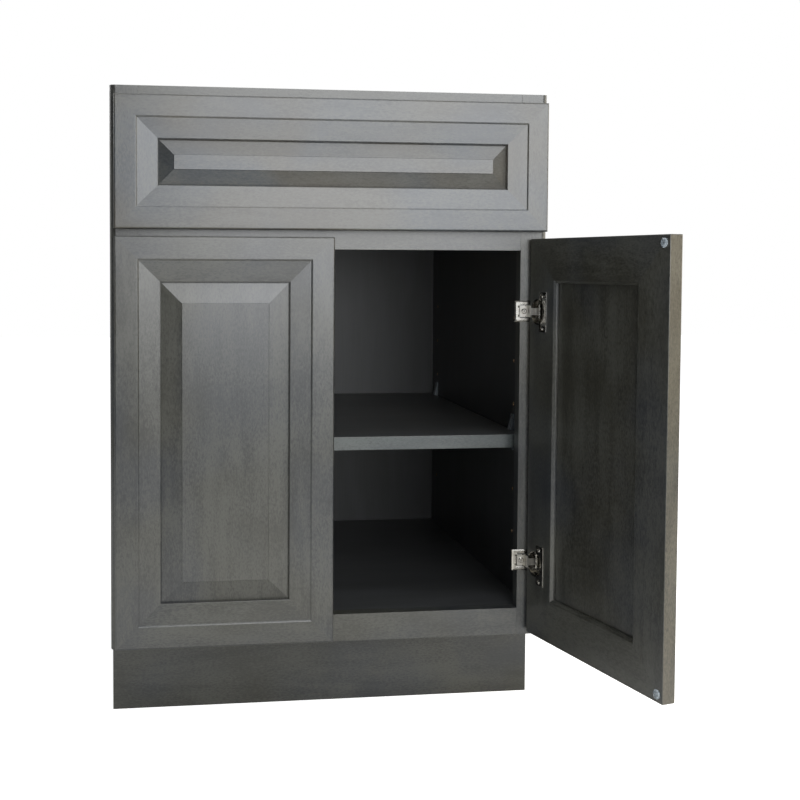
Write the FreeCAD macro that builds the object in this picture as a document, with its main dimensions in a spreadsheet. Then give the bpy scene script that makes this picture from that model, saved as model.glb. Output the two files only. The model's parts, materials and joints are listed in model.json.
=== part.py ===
import FreeCAD, Part
import os
import re
import Sketcher

# Face-frame kitchen base cabinet: one drawer over two butt doors, one adjustable shelf.
# Millimetres. X to the right, Y into the wall, Z up. The origin is on the floor, in the wall plane,
# in the middle of the width. The left door and the drawer are shut, the right door stands open.

SIZES = {
    # Carcass
    "cabinet_width": 609.6,
    "cabinet_height": 876.3,
    "cabinet_depth": 609.6,
    "toe_kick_height": 110,
    "toe_kick_setback": 73,
    "toe_board_thickness": 12.7,
    "frame_overhang": 6.35,
    "side_thickness": 12.7,
    "floor_thickness": 12.7,
    "floor_drop": 1.0,
    "floor_dado": 6.0,
    "back_thickness": 6.35,
    "back_dado": 6.0,
    "rear_rail_thickness": 12.7,
    "rear_top_rail_width": 76.2,
    "brace_leg": 75,
    "brace_nose": 14,
    "brace_thickness": 15,
    "brace_drop": 4,
    "brace_hole_radius": 2.5,
    "brace_hole_inset": 25,
    # Face frame
    "frame_thickness": 19.05,
    "stile_width": 38.1,
    "top_rail_width": 38.1,
    "middle_rail_width": 38.1,
    "bottom_rail_width": 38.1,
    "drawer_opening_height": 142.3,
    "tenon_length": 12,
    "tenon_thickness": 8,
    "tenon_shoulder": 5,
    # Drawer front and doors
    "side_reveal": 6.35,
    "top_reveal": 14.3,
    "bottom_reveal": 6.2,
    "drawer_overlay": 12,
    "row_gap": 9.9,
    "meeting_gap": 3.0,
    "front_thickness": 19.05,
    "front_clearance": 3.2,
    "door_member": 61,
    "door_band": 30.6,
    "drawer_member": 58,
    "drawer_band": 28.8,
    "step_run": 1.9,
    "edge_ease": 1.5,
    "band_step": 1.3,
    "band_fall": 2.4,
    "back_chamfer": 3.5,
    "panel_recess": 7,
    "tongue_thickness": 4,
    "tongue_length": 8,
    "groove_depth": 9,
    "groove_play": 0.15,
    "bevel_play": 0.3,
    "bevel_rise": 5.4,
    "field_step": 0.9,
    "door_bevel": 28.5,
    "drawer_field_height": 20.2,
    "right_door_angle": 104,
    "bumper_radius": 6,
    "bumper_tip_radius": 4.6,
    "bumper_inset": 10,
    "bumper_play": 0.2,
    # Hinges
    "hinge_inset": 101.6,
    "pin_inset": 8,
    "pin_depth": 10,
    "pin_radius": 1.25,
    "pin_play": 0.05,
    "pin_seat": 0.2,
    "knuckle_radius": 2.4,
    "knuckle_length": 10,
    "arm_thickness": 2.0,
    "rim_gap": 0.4,
    "riser_gap": 0.8,
    "foot_reach": 25,
    "foot_height": 16,
    "base_thickness": 1.6,
    "base_lip": 8,
    "base_relief": 9,
    "base_height": 29.5,
    "base_wrap": 15,
    "wrap_height": 18,
    "prong_thickness": 3,
    "prong_length": 4,
    "cup_radius": 17.5,
    "cup_margin": 3.5,
    "knuckle_gap": 0.4,
    "cup_wall": 0.8,
    "cup_play": 0.1,
    "rim_width": 0.5,
    "flange_thickness": 1.0,
    "wing_near": 24,
    "wing_far": 41,
    "wing_height": 55,
    "cup_screw_spacing": 45,
    "cup_screw_offset": 9.5,
    "cup_screw_radius": 1.75,
    "cup_screw_depth": 11,
    "cup_screw_head_radius": 3.4,
    "cup_screw_head_height": 1.0,
    "base_screw_radius": 1.8,
    "base_screw_depth": 18,
    "base_screw_head_radius": 3.6,
    "base_screw_head_height": 1.8,
    "adjuster_gap": 0.6,
    "adjuster_radius": 2.0,
    "adjuster_head_radius": 4.0,
    "adjuster_head_height": 1.4,
    "screw_head_taper": 0.7,
    # Shelf
    "shelf_thickness": 19.05,
    "shelf_setback": 37,
    "shelf_back_gap": 2,
    "shelf_end_gap": 2.6,
    "pin_hole_radius": 2.55,
    "pin_hole_depth": 9,
    "pin_hole_pitch": 64,
    "pin_hole_rows": 6,
    "shelf_rows_up": 2,
    "lowest_hole": 239,
    "front_column": 85,
    "rear_column_gap": 37,
    "clip_pin_play": 0.05,
    "clip_pin_length": 8,
    "clip_pin_drop": 5.7,
    "clip_foot": 4.5,
    "clip_width": 12,
    "clip_plate": 2.2,
    "clip_ledge": 12,
    "clip_ledge_thickness": 3,
    "clip_height": 24,
    "clip_hook": 7,
    "clip_hook_gap": 0.3,
    "clip_tip_height": 5,
    # Drawer box and slides
    "drawer_back_gap": 54,
    "drawer_box_headroom": 14.3,
    "drawer_box_lift": 10,
    "drawer_side_thickness": 12.7,
    "drawer_bottom_thickness": 6.35,
    "drawer_bottom_lift": 10,
    "drawer_dado": 6,
    "slide_thickness": 12.7,
    "slide_back_gap": 54.15,
    "slide_front_gap": 3,
    "slide_wall": 1.2,
    "slide_height_in_box": 55,
    "cabinet_member_height": 45,
    "cabinet_member_depth": 9.4,
    "middle_member_height": 33,
    "middle_member_depth": 8.4,
    "middle_member_gap": 0.8,
    "drawer_member_height": 21,
    "drawer_member_depth": 8.2,
    "balls_per_cage": 7,
    "ball_pitch": 11,
    "ball_play": 0.3,
    "cage_width": 5,
    "cage_thickness": 1.2,
    "cleat_height": 60,
    "front_screw_inset": 45,
    "front_screw_spread": 300,
    "front_screw_radius": 1.75,
    "front_screw_depth": 10,
    "front_screw_head_radius": 4.0,
    "front_screw_head_height": 1.6,
}

# Places that follow from the sizes above, each written once.
PLACES = {
    "front_plane": "-cabinet_depth",
    "frame_back": "front_plane + frame_thickness",
    "half_width": "cabinet_width / 2",
    "stile_edge": "half_width - stile_width",
    "side_outer": "half_width - frame_overhang",
    "side_inner": "side_outer - side_thickness",
    "back_front": "-rear_rail_thickness - back_thickness",
    "toe_front": "front_plane + toe_kick_setback",
    "toe_back": "toe_front + toe_board_thickness",
    "opening_top": "cabinet_height - top_rail_width",
    "middle_rail_top": "opening_top - drawer_opening_height",
    "middle_rail_low": "middle_rail_top - middle_rail_width",
    "bottom_rail_top": "toe_kick_height + bottom_rail_width",
    "floor_top": "bottom_rail_top - floor_drop",
    "floor_low": "floor_top - floor_thickness",
    "fronts_edge": "half_width - side_reveal",
    "fronts_back": "front_plane - front_clearance",
    "drawer_front_top": "cabinet_height - top_reveal",
    "drawer_front_low": "middle_rail_top - drawer_overlay",
    "drawer_front_height": "drawer_front_top - drawer_front_low",
    "drawer_bevel": "(drawer_front_height - drawer_field_height) / 2 - drawer_member",
    "door_top": "drawer_front_low - row_gap",
    "door_low": "toe_kick_height + bottom_reveal",
    "groove_low": "panel_recess - groove_play",
    "groove_high": "panel_recess + tongue_thickness + groove_play",
    "band_low": "front_thickness - band_step",
    "inner_edge_front": "band_low - band_fall",
    "tongue_front": "fronts_back - panel_recess - tongue_thickness",
    "bevel_front": "tongue_front - bevel_rise",
    "pin_x": "fronts_edge - pin_inset",
    "pin_y": "fronts_back - pin_depth",
    "upper_hinge": "door_top - hinge_inset",
    "lower_hinge": "door_low + hinge_inset",
    "cup_centre": "cup_margin + cup_radius",
    "pin_off_centre": "cup_centre - pin_inset",
    "pin_length": "2 * sqrt((cup_radius - pin_seat)^2 - (pin_off_centre + pin_radius)^2)",
    "cup_x": "fronts_edge - cup_centre",
    "cup_screw_x": "cup_x - cup_screw_offset",
    "base_front": "front_plane - base_thickness",
    "foot_front": "base_front - arm_thickness",
    # The bent arm clears the cup's rim and the door's corner where the open door brings them.
    "rim_reach": "sqrt((cup_radius - cup_wall)^2 - (knuckle_length / 2)^2) - pin_off_centre",
    "rim_height": "pin_depth + flange_thickness",
    "open_rim": "sin(right_door_angle) * rim_reach + cos(right_door_angle) * rim_height",
    "open_corner": "sin(right_door_angle) * pin_depth - cos(right_door_angle) * pin_inset",
    "arm_offset": "arm_thickness + rim_gap - open_rim",
    "riser_x": "pin_x - open_corner - riser_gap",
    "adjuster_x": "riser_x - arm_thickness - adjuster_gap - adjuster_head_radius",
    "cup_depth": "pin_depth + max(knuckle_radius; arm_offset) + knuckle_gap + cup_wall",
    "run_front": "pin_y - arm_offset",
    "base_screw_y": "front_plane + base_wrap / 2",
    "rear_column": "back_front - rear_column_gap - front_plane",
    "clip_pin_radius": "pin_hole_radius - clip_pin_play",
    "shelf_hole": "lowest_hole + shelf_rows_up * pin_hole_pitch",
    "shelf_low": "shelf_hole + clip_pin_drop",
    "shelf_top": "shelf_low + shelf_thickness",
    "shelf_end": "side_inner - shelf_end_gap",
    "box_low": "middle_rail_top + drawer_box_lift",
    "box_top": "opening_top - drawer_box_headroom",
    "box_back": "back_front - drawer_back_gap",
    "box_outer": "stile_edge - slide_thickness",
    "box_inner": "box_outer - drawer_side_thickness",
    "slide_front": "front_plane + slide_front_gap",
    "slide_back": "back_front - slide_back_gap",
    "slide_middle_y": "(slide_front + slide_back) / 2",
    "slide_z": "box_low + slide_height_in_box",
    "middle_web": "stile_edge - slide_wall - middle_member_gap",
    "middle_lips": "middle_web - middle_member_depth",
    "cabinet_lips": "stile_edge - cabinet_member_depth",
    "drawer_lips": "box_outer + drawer_member_depth",
    "cabinet_race": "cabinet_member_height / 2 - slide_wall",
    "middle_outer_race": "middle_member_height / 2",
    "middle_inner_race": "middle_outer_race - slide_wall",
    "drawer_race": "drawer_member_height / 2",
}

doc = FreeCAD.newDocument("base_cabinet")
sheet = doc.addObject("Spreadsheet::Sheet", "sizes")
for row, (alias, number) in enumerate(SIZES.items(), start=1):
    sheet.set(f"A{row}", alias)
    sheet.set(f"B{row}", str(number))
    sheet.setAlias(f"B{row}", alias)
doc.recompute()

pieces = []


def formula(text):
    """Spell a rule out in sheet cells, putting each named place's own rule in its stead."""
    def spell(match):
        word = match.group()
        if word in PLACES:
            return f"({formula(PLACES[word])})"
        return f"sizes.{word}" if word in SIZES else word
    return re.sub(r"[A-Za-z_]\w*", spell, text)


def bind(item, rules):
    for prop, text in rules.items():
        item.setExpression(prop, formula(text))
    return item


def piece(label, item):
    """Count an object of the document as a finished piece of the cabinet."""
    item.Label = label
    pieces.append(item)
    return item


def put(item, swing, place=None):
    """Put a piece in its shut place and then, on an open door, turn it with the door."""
    steps = [step for step in (swing, place) if step]
    if steps:
        bind(item, {"Placement": " * ".join(steps)})


def on_side(side, text):
    """A distance from the middle, on the right (1) or the left (-1)."""
    return text if side > 0 else f"-({text})"


def span(side, inner, outer):
    return (inner, outer) if side > 0 else (f"-({outer})", f"-({inner})")


def about(middle, size):
    return f"{middle} - ({size}) / 2", f"{middle} + ({size}) / 2"


# Part primitives and booleans

def block(name, xs, ys, zs):
    """Square-edged block between two places on each axis."""
    rules = {}
    for prop, axis, (low, high) in zip(("Length", "Width", "Height"), "xyz", (xs, ys, zs)):
        rules[prop] = f"{high} - ({low})"
        rules[f"Placement.Base.{axis}"] = low
    return bind(doc.addObject("Part::Box", name), rules)


TURNS = {
    "x": FreeCAD.Rotation(FreeCAD.Vector(0, 1, 0), 90),
    "y": FreeCAD.Rotation(FreeCAD.Vector(1, 0, 0), -90),
    "z": FreeCAD.Rotation(),
    "-x": FreeCAD.Rotation(FreeCAD.Vector(0, 1, 0), -90),
    "-y": FreeCAD.Rotation(FreeCAD.Vector(1, 0, 0), 90),
}


def turned(kind, name, start, heading, rules):
    """Round primitive that starts at a point and runs along a heading."""
    item = doc.addObject(kind, name)
    item.Placement = FreeCAD.Placement(FreeCAD.Vector(), TURNS[heading])
    for axis, text in zip("xyz", start):
        rules[f"Placement.Base.{axis}"] = text
    return bind(item, rules)


def rod(name, start, heading, length, radius):
    return turned("Part::Cylinder", name, start, heading, {"Height": length, "Radius": radius})


def fuse(name, items):
    joined = doc.addObject("Part::MultiFuse", name)
    joined.Shapes = items
    joined.Refine = True
    return joined


def group(name, items):
    together = doc.addObject("Part::Compound", name)
    together.Links = items
    return together


def cut(name, base, tools):
    result = doc.addObject("Part::Cut", name)
    result.Base = base
    result.Tool = tools[0] if len(tools) == 1 else group(f"{name}_tools", tools)
    return result


def screw(name, start, heading, head_height, head_radius, length, radius):
    """Screw whose head starts at the seat and stands back from it, with its shank ahead."""
    back = {"x": "-x", "-x": "x", "y": "-y", "-y": "y"}[heading]
    shank = rod(f"{name}_shank", start, heading, length, radius)
    head = turned("Part::Cone", f"{name}_head", start, back, {
        "Height": head_height, "Radius1": head_radius, "Radius2": f"screw_head_taper * {head_radius}"})
    return fuse(name, [shank, head])


# Sketched bodies

def plane(body, role):
    return next(item for item in body.Origin.OriginFeatures if item.Role == role)


def new_sketch(body, name, role):
    sketch = body.newObject("Sketcher::SketchObject", name)
    sketch.AttachmentSupport = (plane(body, role), "")
    sketch.MapMode = "FlatFace"
    return sketch


def value(text):
    """Present number of a rule, for drawing a sketch before its constraints take hold."""
    return float(sheet.evalExpression(formula(text).replace("sizes.", "")))


def constrain(sketch, kind, ends, text):
    number = sketch.addConstraint(Sketcher.Constraint(kind, *ends, value(text)))
    sketch.setExpression(f"Constraints[{number}]", formula(text))


def outline(sketch, corners):
    """Closed outline of straight lines whose corners are bound to the sheet."""
    points = [FreeCAD.Vector(value(x), value(y), 0) for x, y in corners]
    first = sketch.GeometryCount
    count = len(points)
    for here in range(count):
        sketch.addGeometry(Part.LineSegment(points[here], points[(here + 1) % count]))
    for here in range(count):
        after = first + (here + 1) % count
        sketch.addConstraint(Sketcher.Constraint("Coincident", first + here, 2, after, 1))
    for here, (x, y) in enumerate(corners):
        constrain(sketch, "DistanceX", (-1, 1, first + here, 1), x)
        constrain(sketch, "DistanceY", (-1, 1, first + here, 1), y)


def circle(sketch, x, y, radius):
    centre = FreeCAD.Vector(value(x), value(y), 0)
    ring = sketch.addGeometry(Part.Circle(centre, FreeCAD.Vector(0, 0, 1), value(radius)))
    constrain(sketch, "DistanceX", (-1, 1, ring, 3), x)
    constrain(sketch, "DistanceY", (-1, 1, ring, 3), y)
    constrain(sketch, "Radius", (ring,), radius)


def pad(body, name, sketch, length, reverse=False):
    feature = body.newObject("PartDesign::Pad", name)
    feature.Profile = sketch
    feature.Reversed = reverse
    return bind(feature, {"Length": length})


def pocket(body, name, sketch, depth, reverse=False):
    """Cut a sketch into a body, and make sure that it took material away."""
    doc.recompute()
    before = body.Shape.Volume
    feature = body.newObject("PartDesign::Pocket", name)
    feature.Profile = sketch
    feature.Reversed = reverse
    bind(feature, {"Length": depth})
    doc.recompute()
    if body.Shape.Volume >= before:
        raise RuntimeError(f"{name} cuts nothing")
    return feature


# Carcass panels

def carcass_panels():
    bottom = piece("bottom_panel", block(
        "bottom_panel", about("0", "2 * (side_inner + floor_dado)"),
        ("frame_back", "back_front"), ("floor_low", "floor_top")))
    back = piece("back_panel", block(
        "back_panel", about("0", "2 * (side_inner + back_dado)"),
        ("back_front", "-rear_rail_thickness"), ("toe_kick_height", "cabinet_height")))
    piece("toe_kick_board", block(
        "toe_kick_board", ("-half_width", "half_width"),
        ("toe_front", "toe_back"), ("0", "toe_kick_height")))
    between_sides = ("-side_inner", "side_inner")
    rear = ("-rear_rail_thickness", "0")
    piece("rear_top_rail", block(
        "rear_top_rail", between_sides, rear,
        ("cabinet_height - rear_top_rail_width", "cabinet_height")))
    piece("rear_bottom_rail", block("rear_bottom_rail", between_sides, rear, ("0", "floor_top")))
    for side, hand in ((-1, "left"), (1, "right")):
        side_panel(side, hand, [bottom, back])


def side_panel(side, hand, housed):
    """Plywood side: outline with the toe notch, shelf-pin holes, and housings for two panels."""
    blank = doc.addObject("PartDesign::Body", f"{hand}_side_blank")
    face = new_sketch(blank, f"{hand}_side_outline", "YZ_Plane")
    outline(face, [
        ("0", "0"),
        ("0", "cabinet_height"),
        ("frame_back", "cabinet_height"),
        ("frame_back", "toe_kick_height"),
        ("toe_back", "toe_kick_height"),
        ("toe_back", "0"),
    ])
    pad(blank, f"{hand}_side_board", face, "side_thickness", reverse=side < 0)
    holes = new_sketch(blank, f"{hand}_pin_hole_row", "YZ_Plane")
    for column in ("front_column", "rear_column"):
        circle(holes, f"front_plane + {column}", "lowest_hole", "pin_hole_radius")
    row = pocket(blank, f"{hand}_pin_holes", holes, "pin_hole_depth", reverse=side > 0)
    rows = blank.newObject("PartDesign::LinearPattern", f"{hand}_pin_hole_rows")
    rows.Originals = [row]
    rows.Direction = (plane(blank, "Z_Axis"), [""])
    bind(rows, {
        "Length": "pin_hole_pitch * (pin_hole_rows - 1)", "Occurrences": "pin_hole_rows"})
    blank.Tip = rows
    bind(blank, {"Placement.Base.x": on_side(side, "side_inner")})
    piece(f"{hand}_side_panel", cut(f"{hand}_side_panel", blank, housed))


def corner_braces():
    """Gussets in the four top corners, each with a hole for a screw up into the worktop."""
    zs = ("cabinet_height - brace_drop - brace_thickness", "cabinet_height - brace_drop")
    braces = []
    for side, hand in ((-1, "left"), (1, "right")):
        for toward, corner, end in ((1, "frame_back", "front"), (-1, "back_front", "rear")):
            name = f"{hand}_{end}_brace"
            legs = dict(zip(("min", "max"), span(side, "side_inner - brace_leg", "side_inner")))
            noses = dict(zip(("min", "max"), span(side, "side_inner - brace_nose", "side_inner")))
            at_low, at_high = (legs, noses) if toward > 0 else (noses, legs)
            ys = ("0", "brace_leg") if toward > 0 else ("-brace_leg", "0")
            gusset = bind(doc.addObject("Part::Wedge", f"{name}_gusset"), {
                "Xmin": at_low["min"], "Xmax": at_low["max"],
                "X2min": at_high["min"], "X2max": at_high["max"],
                "Ymin": f"{corner} + {ys[0]}", "Ymax": f"{corner} + {ys[1]}",
                "Zmin": zs[0], "Zmax": zs[1], "Z2min": zs[0], "Z2max": zs[1]})
            inset = "brace_hole_inset" if toward > 0 else "-brace_hole_inset"
            hole = rod(
                f"{name}_hole",
                (on_side(side, "side_inner - brace_hole_inset"), f"{corner} + {inset}", zs[0]),
                "z", "brace_thickness", "brace_hole_radius")
            braces.append(cut(name, gusset, [hole]))
    piece("corner_braces", group("corner_braces", braces))


# Face frame

def frame_rail(label, low, high):
    """Rail between the stiles, with a tenon on each end."""
    ys = ("front_plane", "frame_back")
    board = block(f"{label}_board", ("-stile_edge", "stile_edge"), ys, (low, high))
    tenon = block(
        f"{label}_tenon", about("0", "2 * (stile_edge + tenon_length)"),
        about("front_plane + frame_thickness / 2", "tenon_thickness"),
        (f"{low} + tenon_shoulder", f"{high} - tenon_shoulder"))
    return piece(label, fuse(label, [board, tenon]))


def face_frame(base_screws):
    rails = [
        frame_rail("frame_top_rail", "opening_top", "cabinet_height"),
        frame_rail("frame_middle_rail", "middle_rail_low", "middle_rail_top"),
        frame_rail("frame_bottom_rail", "toe_kick_height", "bottom_rail_top"),
    ]
    for side, hand in ((-1, "left"), (1, "right")):
        label = f"frame_{hand}_stile"
        board = block(
            f"{label}_board", span(side, "stile_edge", "half_width"),
            ("front_plane", "frame_back"), ("toe_kick_height", "cabinet_height"))
        piece(label, cut(label, board, rails + base_screws[hand]))


# Shelf

def shelf_clip(name, side, column):
    """Clear locking clip: a pin in the side, a ledge under the shelf and a hook over it."""
    middle = f"front_plane + {column}"
    ys = about(middle, "clip_width")
    plate = block(
        f"{name}_plate", span(side, "side_inner - clip_plate", "side_inner"), ys,
        ("shelf_hole - clip_foot", "shelf_top + clip_height"))
    ledge = block(
        f"{name}_ledge", span(side, "side_inner - clip_ledge", "side_inner"), ys,
        ("shelf_low - clip_ledge_thickness", "shelf_low"))
    wide = dict(zip(("min", "max"), span(side, "side_inner - clip_hook", "side_inner")))
    slim = dict(zip(("min", "max"), span(side, "side_inner - clip_plate", "side_inner")))
    hook = bind(doc.addObject("Part::Wedge", f"{name}_hook"), {
        "Xmin": wide["min"], "Xmax": wide["max"], "X2min": slim["min"], "X2max": slim["max"],
        "Ymin": "0", "Ymax": "clip_height - clip_hook_gap - clip_tip_height",
        "Zmin": "-clip_width / 2", "Zmax": "clip_width / 2",
        "Z2min": "-clip_width / 2", "Z2max": "clip_width / 2",
        "Placement": f"placement(vector(0; {middle}; shelf_top + clip_hook_gap);"
                     " rotation(vector(1; 0; 0); 90))"})
    pin = rod(
        f"{name}_pin", (on_side(side, "side_inner"), middle, "shelf_hole"),
        "x" if side > 0 else "-x", "clip_pin_length", "clip_pin_radius")
    return fuse(name, [plate, ledge, hook, pin])


def shelf_and_clips():
    piece("shelf", block(
        "shelf", ("-(shelf_end)", "shelf_end"),
        ("front_plane + shelf_setback", "back_front - shelf_back_gap"), ("shelf_low", "shelf_top")))
    clips = []
    for side, hand in ((-1, "left"), (1, "right")):
        for column in ("front_column", "rear_column"):
            clips.append(shelf_clip(f"{hand}_{column}_clip", side, column))
    piece("shelf_clips", group("shelf_clips", clips))


# Hinges

def hinge_base(name, side, height, fixings):
    """Steel plate on the face of the stile that wraps round its inner edge."""
    plate = block(
        f"{name}_plate", span(side, "stile_edge - base_lip", "pin_x - base_relief"),
        ("base_front", "front_plane"), about(height, "base_height"))
    wrap = block(
        f"{name}_wrap", span(side, "stile_edge - base_thickness", "stile_edge"),
        ("base_front", "front_plane + base_wrap"), about(height, "wrap_height"))
    prongs = []
    for end, sign in (("upper", "+"), ("lower", "-")):
        middle = f"{height} {sign} (base_height - prong_thickness) / 2"
        prongs.append(block(
            f"{name}_{end}_prong", span(side, "stile_edge - base_lip", "stile_edge"),
            ("base_front", "front_plane + prong_length"), about(middle, "prong_thickness")))
    return cut(name, fuse(f"{name}_blank", [plate, wrap] + prongs), fixings)


def hinge_arm(name, side, height, adjuster):
    """Bent arm: a foot on the base, a riser, and a run that ends in a knuckle round the pin."""
    riser_xs = ("riser_x - arm_thickness", "riser_x")
    foot = block(
        f"{name}_foot", span(side, "pin_x - foot_reach", "riser_x"),
        ("foot_front", "base_front"), about(height, "foot_height"))
    riser = block(
        f"{name}_riser", span(side, *riser_xs), ("run_front", "base_front"),
        about(height, "foot_height"))
    run = block(
        f"{name}_run", span(side, riser_xs[0], "pin_x"),
        ("run_front", "run_front + arm_thickness"), about(height, "knuckle_length"))
    start = (on_side(side, "pin_x"), "pin_y", about(height, "knuckle_length")[0])
    knuckle = rod(f"{name}_knuckle", start, "z", "knuckle_length", "knuckle_radius")
    bore = rod(f"{name}_bore", start, "z", "knuckle_length", "pin_radius + pin_play")
    return cut(name, fuse(f"{name}_blank", [foot, riser, run, knuckle]), [bore, adjuster])


def hinge_cup(name, side, height, fixings):
    """Pressed cup let into the door, with a rim and two screw wings on the door's back."""
    centre = on_side(side, "cup_x")
    start = (centre, "fronts_back + flange_thickness", height)
    full = rod(
        f"{name}_shell", start, "-y", "flange_thickness + cup_depth", "cup_radius")
    rim = rod(f"{name}_rim", start, "-y", "flange_thickness", "cup_radius + rim_width")
    wings = block(
        f"{name}_wings", span(side, "fronts_edge - wing_far", "fronts_edge - wing_near"),
        ("fronts_back", "fronts_back + flange_thickness"), about(height, "wing_height"))
    hollow = rod(
        f"{name}_hollow", start, "-y", "flange_thickness + cup_depth - cup_wall",
        "cup_radius - cup_wall")
    return cut(name, fuse(f"{name}_blank", [full, rim, wings]), [hollow] + fixings)


def hinges(side, hand, swing):
    """Both hinges of a door: bases and arms on the frame, cups and pins on the door."""
    bases, arms, pins, cup_screws, base_screws, adjusters = [], [], [], [], [], []
    for level in ("upper", "lower"):
        height = f"{level}_hinge"
        name = f"{hand}_{height}"
        base_screw = screw(
            f"{name}_base_screw",
            (on_side(side, "stile_edge - base_thickness"), "base_screw_y", height),
            "x" if side > 0 else "-x", "base_screw_head_height", "base_screw_head_radius",
            "base_thickness + base_screw_depth", "base_screw_radius")
        adjuster = screw(
            f"{name}_adjuster", (on_side(side, "adjuster_x"), "foot_front", height),
            "y", "adjuster_head_height", "adjuster_head_radius",
            "arm_thickness + base_thickness", "adjuster_radius")
        pin = rod(
            f"{name}_pin", (on_side(side, "pin_x"), "pin_y", about(height, "pin_length")[0]),
            "z", "pin_length", "pin_radius")
        wing_screws = [
            screw(
                f"{name}_{end}_cup_screw",
                (on_side(side, "cup_screw_x"), "fronts_back + flange_thickness",
                 f"{height} {sign} cup_screw_spacing / 2"),
                "-y", "cup_screw_head_height", "cup_screw_head_radius",
                "flange_thickness + cup_screw_depth", "cup_screw_radius")
            for end, sign in (("top", "+"), ("bottom", "-"))]
        bases.append(hinge_base(f"{name}_base", side, height, [base_screw, adjuster]))
        arms.append(hinge_arm(f"{name}_arm", side, height, adjuster))
        cup = hinge_cup(f"{name}_cup", side, height, [pin] + wing_screws)
        put(piece(f"{hand}_door_{level}_hinge_cup", cup), swing)
        pins.append(pin)
        cup_screws += wing_screws
        base_screws.append(base_screw)
        adjusters.append(adjuster)
    piece(f"{hand}_hinge_bases", group(f"{hand}_hinge_bases", bases))
    piece(f"{hand}_hinge_arms", group(f"{hand}_hinge_arms", arms))
    for role, items in (("hinge_pins", pins), ("cup_screws", cup_screws)):
        label = f"{hand}_door_{role}"
        put(piece(label, group(label, items)), swing)
    return base_screws, adjusters


# Mitred fronts with raised panels

def mitred_member(name, kind, length):
    """Moulded stick, mitred at both ends: X along it, Y from its outer edge, Z from its back."""
    width, band = f"{kind}_member", f"{kind}_band"
    body = doc.addObject("PartDesign::Body", name)
    section = new_sketch(body, f"{name}_section", "YZ_Plane")
    outline(section, [
        ("0", "0"),
        ("0", "front_thickness - edge_ease"),
        ("edge_ease", "front_thickness"),
        (band, "front_thickness"),
        (f"{band} + step_run", "band_low"),
        (width, "inner_edge_front"),
        (width, "groove_high"),
        (f"{width} - groove_depth", "groove_high"),
        (f"{width} - groove_depth", "groove_low"),
        (width, "groove_low"),
        (width, "back_chamfer"),
        (f"{width} - back_chamfer", "0"),
    ])
    pad(body, f"{name}_stick", section, length)
    mitres = new_sketch(body, f"{name}_mitre_lines", "XY_Plane")
    outline(mitres, [("0", "0"), ("0", width), (width, width)])
    outline(mitres, [(length, "0"), (length, width), (f"{length} - {width}", width)])
    pocket(body, f"{name}_mitres", mitres, "front_thickness", reverse=True)
    return body


def hinge_borings(body, name, length):
    """Cup holes and pilot holes in the back of a hinge stile."""
    middles = ("hinge_inset", f"{length} - hinge_inset")
    cups = new_sketch(body, f"{name}_cup_rings", "XY_Plane")
    pilots = new_sketch(body, f"{name}_pilot_rings", "XY_Plane")
    for middle in middles:
        circle(cups, middle, "cup_centre", "cup_radius + cup_play")
        for place in about(middle, "cup_screw_spacing"):
            circle(pilots, place, "cup_centre + cup_screw_offset", "cup_screw_radius")
    pocket(body, f"{name}_cup_holes", cups, "cup_depth + cup_play", reverse=True)
    pocket(body, f"{name}_pilot_holes", pilots, "cup_screw_depth", reverse=True)


def screw_borings(body, name, length):
    """Pilot holes in the back of a drawer front's rail, for the screws through the drawer box."""
    pilots = new_sketch(body, f"{name}_pilot_rings", "XY_Plane")
    for place in about(f"{length} / 2", "front_screw_spread"):
        circle(pilots, place, "front_screw_inset", "front_screw_radius")
    pocket(body, f"{name}_pilot_holes", pilots, "front_screw_depth", reverse=True)


def raised_panel(name, kind, xs, zs):
    """Panel whose tongue sits in the frame's groove and whose bevel rises to a flat field."""
    def inset(ends, amount):
        return f"{ends[0]} + {amount}", f"{ends[1]} - ({amount})"
    tongue = block(
        f"{name}_tongue",
        inset(xs, f"({kind}_member - tongue_length)"), ("tongue_front", "fronts_back - panel_recess"),
        inset(zs, f"({kind}_member - tongue_length)"))
    foot_xs, foot_zs = (inset(ends, f"({kind}_member + bevel_play)") for ends in (xs, zs))
    field_xs, field_zs = (inset(ends, f"({kind}_member + {kind}_bevel)") for ends in (xs, zs))
    bevel = bind(doc.addObject("Part::Wedge", f"{name}_bevel"), {
        "Ymin": "bevel_front", "Ymax": "tongue_front",
        "Xmin": field_xs[0], "Xmax": field_xs[1], "Zmin": field_zs[0], "Zmax": field_zs[1],
        "X2min": foot_xs[0], "X2max": foot_xs[1], "Z2min": foot_zs[0], "Z2max": foot_zs[1]})
    field = block(f"{name}_field", field_xs, ("bevel_front - field_step", "tongue_front"), field_zs)
    return fuse(name, [tongue, bevel, field])


def framed_front(name, kind, xs, zs, labels, borings, swing=None):
    """Five-piece front. Looking at it, sticks run along its bottom, top, left and right edges."""
    width = f"({xs[1]} - ({xs[0]}))"
    height = f"({zs[1]} - ({zs[0]}))"
    edges = {
        "bottom": (0, xs[0], zs[0], width),
        "top": (180, xs[1], zs[1], width),
        "left": (90, xs[0], zs[1], height),
        "right": (-90, xs[1], zs[0], height),
    }
    for edge, (turn, x, z, length) in edges.items():
        label = f"{name}_{labels[edge]}"
        stick = mitred_member(label, kind, length)
        if edge in borings:
            borings[edge](stick, label, length)
        place = (
            f"placement(vector({x}; fronts_back; {z});"
            f" rotation(vector(0; 1; 0); {turn}) * rotation(vector(1; 0; 0); 90))")
        put(piece(label, stick), swing, place)
    put(piece(f"{name}_panel", raised_panel(f"{name}_panel", kind, xs, zs)), swing)


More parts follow.
